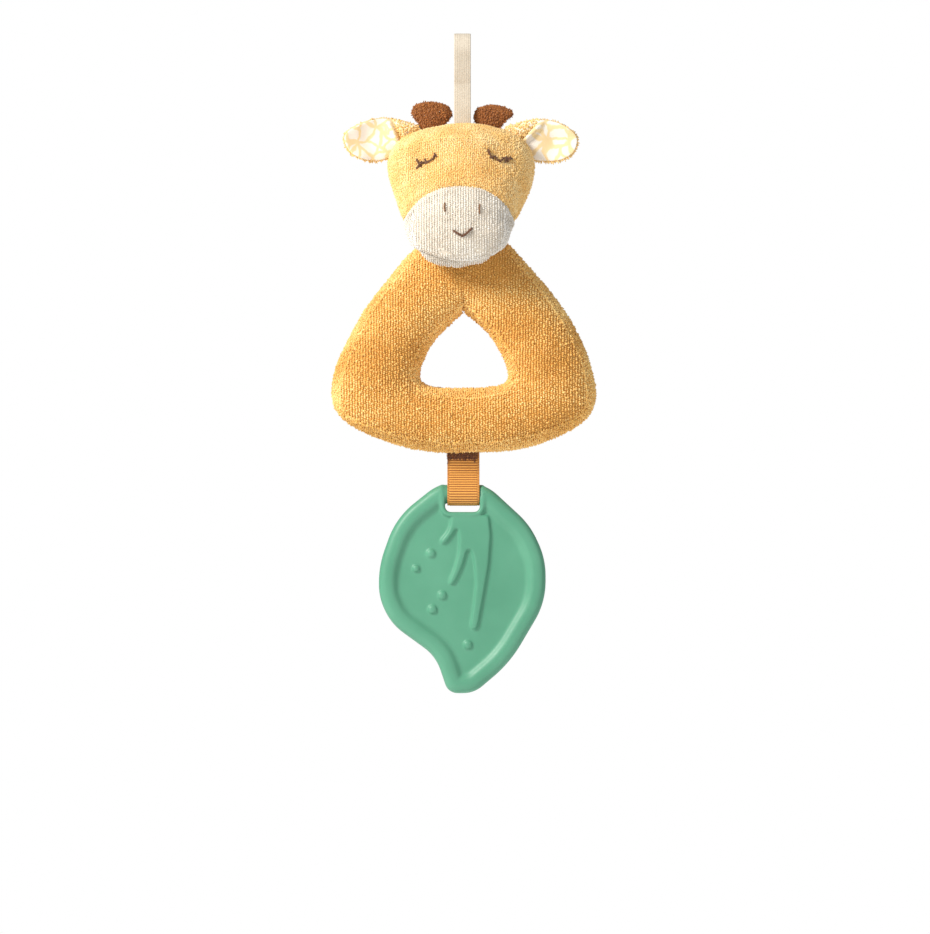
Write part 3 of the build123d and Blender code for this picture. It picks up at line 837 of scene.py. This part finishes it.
def grosgrain_rib_shading_paint():
    """Ribbed ribbon: painted shade dark between the ribs, painted highlight where the threads run over them."""
    paint = Paint("grosgrain", (0.55, 0.20, 0.03), 0.6, Sheen_Weight=0.15)
    # The tone attribute carries painted shade between the ribs and a painted highlight on their tops.
    rib_shading = paint.node("ShaderNodeAttribute", attribute_name="tone")
    grain = paint.noise(2600.0, 3.0)
    mixed = paint.mix(grain, 0.35, rib_shading.outputs["Fac"], 1.0)
    # Dark stop: painted shade in the grooves; bright stops: painted highlight on the rib tops.
    stops = ((0.30, (0.20, 0.050, 0.006)), (0.72, (0.50, 0.18, 0.025)), (1.0, (0.78, 0.38, 0.075)))
    paint.colour(paint.ramp(mixed, stops))
    paint.rough(grain, 0.45, 0.75)
    paint.bump(grain, 0.00005)
    return paint.material


def build_tape():
    """Cream cotton tape: a loop on top, its doubled stem sewn into the crown of the head."""
    step = 0.12
    path = loop_path(-4.0, EYE_RADIUS + TAPE_PLY / 2, EYE_CLOSE_Z, TAPE_PLY / 2, STEM_END_Z, step)

    def relief(rows, across):
        row = np.arange(rows)[:, None] * step
        warp = 0.035 * np.cos(across[None] * math.pi * 9)
        weft = 0.030 * np.cos(row * 2 * math.pi / 0.55 + (np.round(across[None] * 9) % 2) * math.pi)
        return warp + weft

    tape = strip_mesh("tape_loop", path, TAPE_WIDTH - 0.6, TAPE_PLY - 0.06, 41, relief)
    tape.data.materials.append(weave_paint("tape_cotton", (0.56, 0.49, 0.39), (0.70, 0.63, 0.52)))
    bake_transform(tape)
    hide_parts("hanging_loop", "loop_stem")


def build_ribbon():
    """Grosgrain ribbon: a tab out of the ring, folded round the teether's bar."""
    step = 0.1
    radius = BAR_RADIUS + BAR_CLEAR + RIBBON_PLY / 2
    path = loop_path(BAR_Z, radius, RIBBON_SPREAD_Z, RIBBON_PLY / 2 + 0.02, RIBBON_TOP_Z, step)
    path[:, 0] += RING_Y

    def relief(rows, across):
        row = np.arange(rows)[:, None] * step
        inner = 1 - smooth_step(np.abs(across), *SELVEDGE)[None]
        ribs = 0.20 * (np.abs(np.cos(row * math.pi / RIB_PITCH)) - 0.6)
        wales = 0.02 * np.cos(across[None] * math.pi * 15)
        picots = 0.05 * np.cos(row * 2 * math.pi / PICOT_PITCH) * (1 - inner)
        groove = 0.06 * np.exp(-(((np.abs(across) - 0.87) / 0.03) ** 2))[None]
        return (ribs + wales) * inner + picots - groove

    # Painted light for the ribs: high on the rib tops as a painted highlight, low between them as painted shade;
    # along the selvedge a stitch pattern at the picot pitch.
    def tone(rows, across):
        row = np.arange(rows)[:, None] * step
        rib_shading = np.abs(np.cos(row * math.pi / RIB_PITCH)) + 0 * across[None]
        selvedge = smooth_step(np.abs(across), *SELVEDGE)[None]
        stitch = 0.55 + 0.35 * np.cos(row * 2 * math.pi / PICOT_PITCH + 6 * across[None])
        return rib_shading * (1 - selvedge) + stitch * selvedge

    ribbon = strip_mesh("ribbon", path, RIBBON_WIDTH, RIBBON_PLY - 0.1, 61, relief, 0.3, tone)
    ribbon.data.materials.append(grosgrain_rib_shading_paint())
    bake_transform(ribbon)
    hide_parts("ribbon_tab", "ribbon_loop")


# ---- Thread work -----------------------------------------------------------------------------
def across_path(points):
    """Two directions across a path at each of its points."""
    along = np.gradient(points, axis=0)
    along /= np.linalg.norm(along, axis=1, keepdims=True) + 1e-12
    side = np.cross(along, THREAD_UP)
    side /= np.linalg.norm(side, axis=1, keepdims=True) + 1e-12
    return side, np.cross(along, side)


def tube(points, radius, sides):
    """Points of a round thread along a path, tapered at its ends."""
    side, other = across_path(points)
    angle = np.linspace(0, 2 * math.pi, sides, endpoint=False)
    station = 2 * np.abs(np.linspace(0, 1, len(points)) - 0.5)
    taper = np.sqrt(np.clip(1 - station**8, 0.02, 1)) * radius
    ring = side[:, None] * np.cos(angle)[None, :, None] + other[:, None] * np.sin(angle)[None, :, None]
    return (points[:, None] + ring * taper[:, None, None]).reshape(-1, 3)


def threads(name, paths, radius, material, sides=8):
    """One mesh of many threads, each a closed tube of two twisted strands."""
    points, faces, caps, start = [], [], [], 0
    for path in paths:
        path = np.asarray(path, dtype=float)
        length = np.linalg.norm(np.diff(path, axis=0), axis=1).sum()
        dense = even_points(path, max(8, int(length / THREAD_STEP)), closed=False)
        side, other = across_path(dense)
        turn = np.linspace(0, length * 2 * math.pi / THREAD_TWIST, len(dense))
        for phase in (0, math.pi):
            swing = side * np.cos(turn + phase)[:, None] + other * np.sin(turn + phase)[:, None]
            points.append(tube(dense + swing * radius * 0.5, radius * 0.62, sides))
            faces.append(grid_faces(len(dense), sides, wrap_columns=True, start=start))
            end = start + len(dense) * sides
            caps += [list(range(start, start + sides))[::-1], list(range(end - sides, end))]
            start = end
    piece = make_mesh(name, np.vstack(points), [np.vstack(faces), np.array(caps)])
    piece.data.materials.append(material)
    return piece


def thread_paint(name, dark, light):
    paint = Paint(name, light, 0.55, Sheen_Weight=0.3)
    grain = paint.noise(3500.0, 3.0)
    paint.colour(paint.ramp(grain, ((0.35, dark), (0.65, light))))
    paint.rough(grain, 0.4, 0.7)
    paint.bump(grain, 0.00004)
    return paint.material


def front_of(surface, x, z):
    """Y of a surface's front at a place seen along Y, from its nearest points."""
    near = np.hypot(surface[:, 0] - x, surface[:, 2] - z) < 0.5
    return surface[near, 1].min()


def on_front(surface, stroke, proud):
    """A stroke in X and Z laid on a surface, bowed so that its ends sink in."""
    stroke = np.asarray(stroke, dtype=float)
    dense = even_points(stroke, 12, closed=False)
    bow = np.sin(np.linspace(0, math.pi, 12)) ** 0.4
    y = np.array([front_of(surface, x, z) for x, z in dense])
    return np.stack([dense[:, 0], y - proud * bow + 0.5 * (1 - bow), dense[:, 1]], axis=1)


EYE_LEFT = (
    ((-14.3, -38.6), (-13.6, -40.2), (-12.6, -41.4)), ((-14.4, -41.8), (-13.0, -40.3), (-11.6, -39.6)),
    ((-13.8, -40.9), (-12.6, -39.5)), ((-11.7, -38.9), (-10.9, -40.2)),
    ((-11.9, -40.2), (-9.9, -39.2), (-8.4, -38.4)), ((-9.2, -38.9), (-8.5, -37.2)),
    ((-8.7, -37.0), (-8.1, -38.2)),
)
EYE_RIGHT = (
    ((8.0, -35.7), (8.6, -37.6), (9.5, -38.9)), ((8.4, -38.4), (10.3, -38.0)),
    ((9.9, -37.7), (11.0, -39.2), (11.9, -39.6)), ((11.7, -39.7), (12.9, -38.4)),
    ((12.6, -38.3), (14.2, -38.6), (15.6, -38.7)), ((13.7, -38.0), (13.3, -39.9)),
    ((14.9, -38.0), (14.0, -39.7)),
)
NOSTRILS = (((-5.5, -52.4), (-5.6, -54.0), (-5.4, -55.5)), ((5.5, -52.9), (5.2, -54.4), (5.4, -56.0)))
MOUTH = (((-2.8, -61.2), (-1.4, -62.1), (0.1, -63.0)), ((-0.3, -63.1), (1.5, -61.9), (3.1, -60.3)))


def build_embroidery(surface):
    """Sleeping eyes, nostrils and mouth in twisted thread, half sunk in the pile."""
    dark = thread_paint("dark_thread_paint", (0.07, 0.022, 0.007), (0.19, 0.068, 0.020))
    brown = thread_paint("brown_thread_paint", (0.16, 0.065, 0.02), (0.30, 0.14, 0.05))
    for name, strokes, proud, radius, paint, node in (
        ("eye_left", EYE_LEFT, 0.70, 0.29, dark, "eye_left_stitches"),
        ("eye_right", EYE_RIGHT, 0.70, 0.29, dark, "eye_right_stitches"),
        ("nostrils", NOSTRILS, 0.50, 0.26, brown, "nostril_stitches"),
        ("mouth", MOUTH, 0.75, 0.36, dark, "mouth_stitches"),
    ):
        piece = threads(name, [on_front(surface, s, proud) for s in strokes], radius, paint)
        finish_piece(piece, "head", (node,))


def build_bartack():
    """Dense dark stitches that close the ribbon into the ring, with a few loose ends."""
    local = np.random.default_rng(51)
    paint = thread_paint("bartack_thread", (0.10, 0.028, 0.006), (0.24, 0.070, 0.014))
    paths = []
    for way in (-1, 1):
        y = RING_Y + way * (RIBBON_PLY + 0.22)
        for row in range(BARTACK_ROWS):
            z = BARTACK_TOP_Z - BARTACK_ROW * row
            turn = np.arange(BARTACK_TURNS)
            x = np.linspace(-4.9, 4.9, BARTACK_TURNS) + local.normal(0, 0.08, BARTACK_TURNS)
            zig = z + 0.24 * (-1.0) ** turn + local.normal(0, 0.05, BARTACK_TURNS)
            paths.append(np.stack([x, y + way * 0.08 * np.cos(turn * math.pi), zig], axis=1))
        for x, reach, lean in ((-4.2, 2.2, -0.5), (3.4, 1.7, 0.6), (0.6, 1.2, 0.3)):
            t = np.linspace(0, 1, 6)
            fall = LOOSE_END_Z - reach * t + 0.4 * t**2
            paths.append(np.stack([x + lean * t, y + way * 0.35 * np.sin(t * 3), fall], axis=1))
    piece = threads("bartack", paths, 0.17, paint, sides=6)
    finish_piece(piece, "ribbon_top", ("ribbon_stitching",))


def build_neck_seam():
    """Ladder stitches that close the ring on to the head, hidden under the chin."""
    paint = thread_paint("neck_thread", (0.60, 0.33, 0.08), (0.80, 0.48, 0.14))
    paths = []
    for k in range(NECK_STITCHES):
        a = 2 * math.pi * k / NECK_STITCHES
        x, y = RING_X + NECK_SHIFT[0] + 8.6 * math.cos(a), RING_Y + NECK_SHIFT[1] + 6.6 * math.sin(a)
        paths.append([(x, y, -61.9), (x + 0.25, y, -61.3), (x + 0.5, y, -60.8)])
    piece = threads("neck_seam", paths, 0.2, paint, sides=6)
    finish_piece(piece, "ring", ("neck_stitches",))


# ---- Teether ---------------------------------------------------------------------------------
def surface_net(field, origin, step):
    """Closed smooth mesh where a field on a grid crosses zero, in quads."""
    inside = field < 0
    size = np.array(inside.shape) - 1
    count = sum(inside[i:size[0] + i, j:size[1] + j, k:size[2] + k].astype(np.int8)
                for i in (0, 1) for j in (0, 1) for k in (0, 1))
    cell = (count > 0) & (count < 8)
    number = np.full(cell.shape, -1, dtype=np.int64)
    where = np.argwhere(cell)
    number[cell] = np.arange(len(where))
    total, hits = np.zeros((len(where), 3)), np.zeros(len(where))
    i, j, k = where.T
    for axis in range(3):
        others = [a for a in range(3) if a != axis]
        for u in (0, 1):
            for v in (0, 1):
                shift = [0, 0, 0]
                shift[others[0]], shift[others[1]] = u, v
                a = field[i + shift[0], j + shift[1], k + shift[2]]
                far = shift[:]
                far[axis] += 1
                b = field[i + far[0], j + far[1], k + far[2]]
                cross = (a < 0) != (b < 0)
                t = np.where(cross, a / np.where(cross, a - b, 1), 0)
                spot = np.array(shift, dtype=float)[None] + 0 * where
                spot[:, axis] += t
                total += spot * cross[:, None]
                hits += cross
    points = origin + (where + total / hits[:, None]) * step
    quads = []
    for axis in range(3):
        first = np.take(inside, range(inside.shape[axis] - 1), axis=axis)
        second = np.take(inside, range(1, inside.shape[axis]), axis=axis)
        edges = np.argwhere(first != second)
        keep = np.all(edges > 0, axis=1)
        edges = edges[keep]
        flip = first[tuple(edges.T)]
        b, c = [(1, 2), (2, 0), (0, 1)][axis]
        around = []
        for db, dc in ((1, 1), (0, 1), (0, 0), (1, 0)):
            cell_at = edges.copy()
            cell_at[:, b] -= db
            cell_at[:, c] -= dc
            around.append(number[tuple(cell_at.T)])
        quad = np.stack(around, axis=1)
        quads.append(np.where(flip[:, None], quad, quad[:, ::-1]))
    return points, np.vstack(quads)


def blend_max(a, b, soft):
    """Larger of two fields, with the corner between them rounded."""
    h = np.clip(0.5 + 0.5 * (a - b) / soft, 0, 1)
    return b + (a - b) * h + soft * h * (1 - h)


def blend_min(a, b, soft):
    return -blend_max(-a, -b, soft)


def leaf_profile(x, z):
    """Distance inside the leaf's outline, and the half thickness of its sculpted face."""
    outline = even_points(round_corners(LEAF), 420)
    inside = np.where(inside_polygon(x, z, outline), 1, -1)
    deep = inside * distance_to_line(x, z, np.vstack([outline, outline[:1]]))
    fade_right = 1 - smooth_step(z, -160, -150) * smooth_step(x, 4, 14)
    valley = 0.75 + 0.25 * fade_right
    rim = 1 - smooth_step(deep, 3.4, 6.6)
    face = LEAF_FLOOR + (LEAF_HALF - LEAF_FLOOR) * (1 - valley * (1 - rim))
    middle = np.exp(-(((x - 1) / 16) ** 2 + ((z + 170) / 20) ** 2))
    face = face + 0.30 * middle
    raised = np.zeros(x.shape)
    for vein in VEINS:
        corners = smooth_outline(even_points(np.array(vein), 400), 4)
        reach = distance_to_line(x, z, np.vstack([corners, corners[:1]]))
        reach = np.where(inside_polygon(x, z, corners), reach, -reach)
        raised = np.maximum(raised, 1.0 * smooth_step(reach, -0.25, 0.75))
    for dx, dz, radius in DOTS:
        away = np.hypot(x - dx, z - dz) / (radius + 0.25)
        raised = np.maximum(raised, 0.95 * np.sqrt(np.clip(1 - away**2, 0, 1)))
    slot = slot_distance(x, z)
    lip = 1.45 * (1 - smooth_step(slot, 0.9, 2.1))
    return deep, face + np.maximum(raised * (1 - smooth_step(z, -149.4, -148.4)), lip)


def smooth_outline(points, width):
    """Round a closed outline's corners by averaging neighbours."""
    total = sum(np.roll(points, k, axis=0) for k in range(-width, width + 1))
    return total / (2 * width + 1)


def rounded_box(across, along, radius):
    """Distance outside a box with rounded edges, from how far a point is past its two shrunk sides."""
    inner = np.minimum(np.maximum(across, along), 0)
    return inner + np.hypot(np.maximum(across, 0), np.maximum(along, 0)) - radius


def slot_distance(x, z):
    """Distance outside the ribbon slot's rounded outline, negative within it."""
    qx = np.abs(x) - SLOT_HALF + SLOT_RADIUS
    qz = np.abs(z - (BAR_Z + SLOT_BOTTOM_Z) / 2) - (BAR_Z - SLOT_BOTTOM_Z) / 2 + SLOT_RADIUS
    return rounded_box(qx, qz, SLOT_RADIUS)


def build_teether():
    """Silicone leaf with a soft rim, raised veins and dots, and a slot for the ribbon."""
    size = np.ceil((NET_HIGH - NET_LOW) / NET_STEP).astype(int) + 1
    xs, ys, zs = (NET_LOW[k] + np.arange(size[k]) * NET_STEP for k in range(3))
    x, z = np.meshgrid(xs, zs, indexing="ij")
    deep, face = leaf_profile(x, z)
    slot = slot_distance(x, z)
    y = np.abs(ys)[None, :, None]
    edge = 2.8
    body = rounded_box(edge - deep[:, None, :], y - LEAF_HALF + edge, edge)
    carve = (y - face[:, None, :]) * 0.75
    leaf = blend_max(body, carve, 0.9)
    leaf = blend_max(leaf, -slot[:, None, :] + 0 * y, 0.8)
    notch = np.abs(x) - SLOT_HALF
    notch = np.maximum(notch, BAR_Z - z)[:, None, :] + 0 * y
    leaf = blend_max(leaf, -notch, 1.6)
    bar = np.hypot(y, (z - BAR_Z)[:, None, :]) - BAR_RADIUS
    bar = np.maximum(bar, (np.abs(x) - 6.6)[:, None, :])
    leaf = blend_min(leaf, bar, 0.35)
    points, quads = surface_net(leaf, NET_LOW, NET_STEP)
    points[:, 1] += RING_Y
    piece = make_mesh("leaf_teether", points, [quads])
    relax = piece.modifiers.new("relax", "SMOOTH")
    relax.factor, relax.iterations = 0.5, 3
    paint = Paint("silicone", (0.13, 0.42, 0.27), 0.42, Specular_IOR_Level=0.45, Subsurface_Weight=0.12)
    paint.shader.inputs["Subsurface Radius"].default_value = (0.001, 0.003, 0.002)
    grain = paint.noise(900.0, 3.0)
    haze = paint.noise(60.0, 2.0)
    paint.colour(paint.ramp(haze, ((0.3, (0.088, 0.31, 0.195)), (0.7, (0.110, 0.355, 0.228)))))
    paint.rough(grain, 0.36, 0.52)
    paint.bump(grain, 0.000015)
    piece.data.materials.append(paint.material)
    finish_piece(piece, "leaf", ("teether",))


# ---- CAD nodes that stay ---------------------------------------------------------------------
def paint_nodes():
    """Better finishes for the rattle capsule and its beads inside the head."""
    shell = Paint("capsule_moulded", (0.85, 0.86, 0.88), 0.25)
    shell.rough(shell.noise(600.0), 0.18, 0.35)
    shell.bump(shell.noise(1500.0), 0.00001)
    bead = Paint("bead_moulded", (0.9, 0.45, 0.2), 0.3)
    bead.colour(bead.ramp(bead.noise(400.0), ((0.3, (0.80, 0.36, 0.14)), (0.7, (0.92, 0.50, 0.24)))))
    bead.rough(bead.noise(900.0), 0.2, 0.4)
    for name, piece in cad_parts.items():
        if name.startswith("rattle_"):
            for place in piece.material_slots:
                place.material = (bead if "bead" in name else shell).material


def build_neck():
    """Short terry neck that closes the head on to the ring."""
    def collar(rows, columns):
        z = np.linspace(NECK_TOP_Z, NECK_LOW_Z, rows)[:, None]
        waist = np.exp(-(((z - NECK_WAIST_Z) / 2.6) ** 2))
        angle = np.linspace(0, 2 * math.pi, columns, endpoint=False)[None]
        x = RING_X + NECK_SHIFT[0] + (8.8 - 0.7 * waist) * np.cos(angle)
        y = RING_Y + NECK_SHIFT[1] + (6.9 - 0.7 * waist) * np.sin(angle)
        grid = np.stack([x, y, z + 0 * x], -1)
        return grid, outward(grid, grid_normals(grid), grid.mean(axis=1, keepdims=True))

    grid = collar(40, 96)[0]
    cloth = fabric_paint("neck_cloth", (0.68, 0.36, 0.075), (0.82, 0.47, 0.12))
    skin = open_skin("neck_collar", grid, cloth, CLOTH)
    grid, normals = (a.reshape(-1, 3) for a in collar(160, 700))
    chosen = pick_cells(grid, normals, *TERRY_PITCH, np.random.default_rng(61))
    tones = pile_paints("neck_loop", YELLOW_TONES)
    pile = tufts("neck_pile", grid[chosen], normals[chosen], 0.54, 0.74, tones, 62)
    for piece in (skin, pile):
        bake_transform(piece)


# ---- Stage -----------------------------------------------------------------------------------
FLOOR_RADIUS, FLOOR_Z, FLOOR_SIDES = 1000, -320, 96
SKY_LIGHT = 0.37          # strength of the world as a light; the camera sees it white
# name, place and size in metres, watts, colour
LIGHTS = (
    ("key", (-0.75, -0.60, 0.50), 0.32, 15.0, (1.0, 0.96, 0.91)),
    ("fill", (0.7, -0.9, 0.0), 0.8, 1.5, (1.0, 0.98, 0.95)),
)
LIGHT_AIM = (0, 0, -0.10)
CAMERA_DISTANCE, CAMERA_WIDTH, CAMERA_X, CAMERA_Z, SENSOR = 4.0, 0.2906, 0.0008, -0.1343, 36


def build_stage():
    """Pale floor, soft light and the camera."""
    turn = np.linspace(0, 2 * math.pi, FLOOR_SIDES, endpoint=False)
    disc = np.stack([FLOOR_RADIUS * np.cos(turn), FLOOR_RADIUS * np.sin(turn), FLOOR_Z + 0 * turn], axis=1)
    floor = make_mesh("floor", disc, [np.arange(FLOOR_SIDES)[None]])
    floor.data.materials.append(Paint("pale_floor", (0.93, 0.93, 0.93), 0.8, Emission_Strength=0.2).material)
    world = bpy.context.scene.world or bpy.data.worlds.new("world")
    bpy.context.scene.world = world
    world.use_nodes = True
    tree = world.node_tree
    sky = tree.nodes["Background"]
    sky.inputs["Color"].default_value = (1, 1, 1, 1)
    seen = tree.nodes.new("ShaderNodeLightPath")
    level = tree.nodes.new("ShaderNodeMapRange")
    level.inputs["To Min"].default_value = SKY_LIGHT
    level.inputs["To Max"].default_value = 1.0
    tree.links.new(seen.outputs["Is Camera Ray"], level.inputs["Value"])
    tree.links.new(level.outputs["Result"], sky.inputs["Strength"])
    for name, place, size, watts, colour in LIGHTS:
        data = bpy.data.lights.new(name, "AREA")
        data.energy, data.size, data.color = watts, size, colour
        light = bpy.data.objects.new(name, data)
        light.location = place
        aim = np.array(LIGHT_AIM) - np.array(place)
        light.rotation_euler = (math.acos(-aim[2] / np.linalg.norm(aim)), 0, math.atan2(-aim[0], aim[1]))
        bpy.context.scene.collection.objects.link(light)
    view = bpy.data.cameras.new("camera")
    camera = bpy.data.objects.new("camera", view)
    camera.location = (CAMERA_X, -CAMERA_DISTANCE, CAMERA_Z)
    camera.rotation_euler = (math.pi / 2, 0, 0)
    view.sensor_width = SENSOR
    view.lens = SENSOR * CAMERA_DISTANCE / CAMERA_WIDTH
    view.clip_end = 20
    bpy.context.scene.collection.objects.link(camera)
    bpy.context.scene.camera = camera
    bpy.context.scene.view_settings.view_transform = "Standard"


build_stage()
paint_nodes()
face_surface = build_head()
build_ring()
for ear_side in ("left", "right"):
    build_ear(ear_side)
    build_horn(ear_side)
build_tape()
build_ribbon()
build_bartack()
build_neck()
build_neck_seam()
build_embroidery(face_surface)
build_teether()
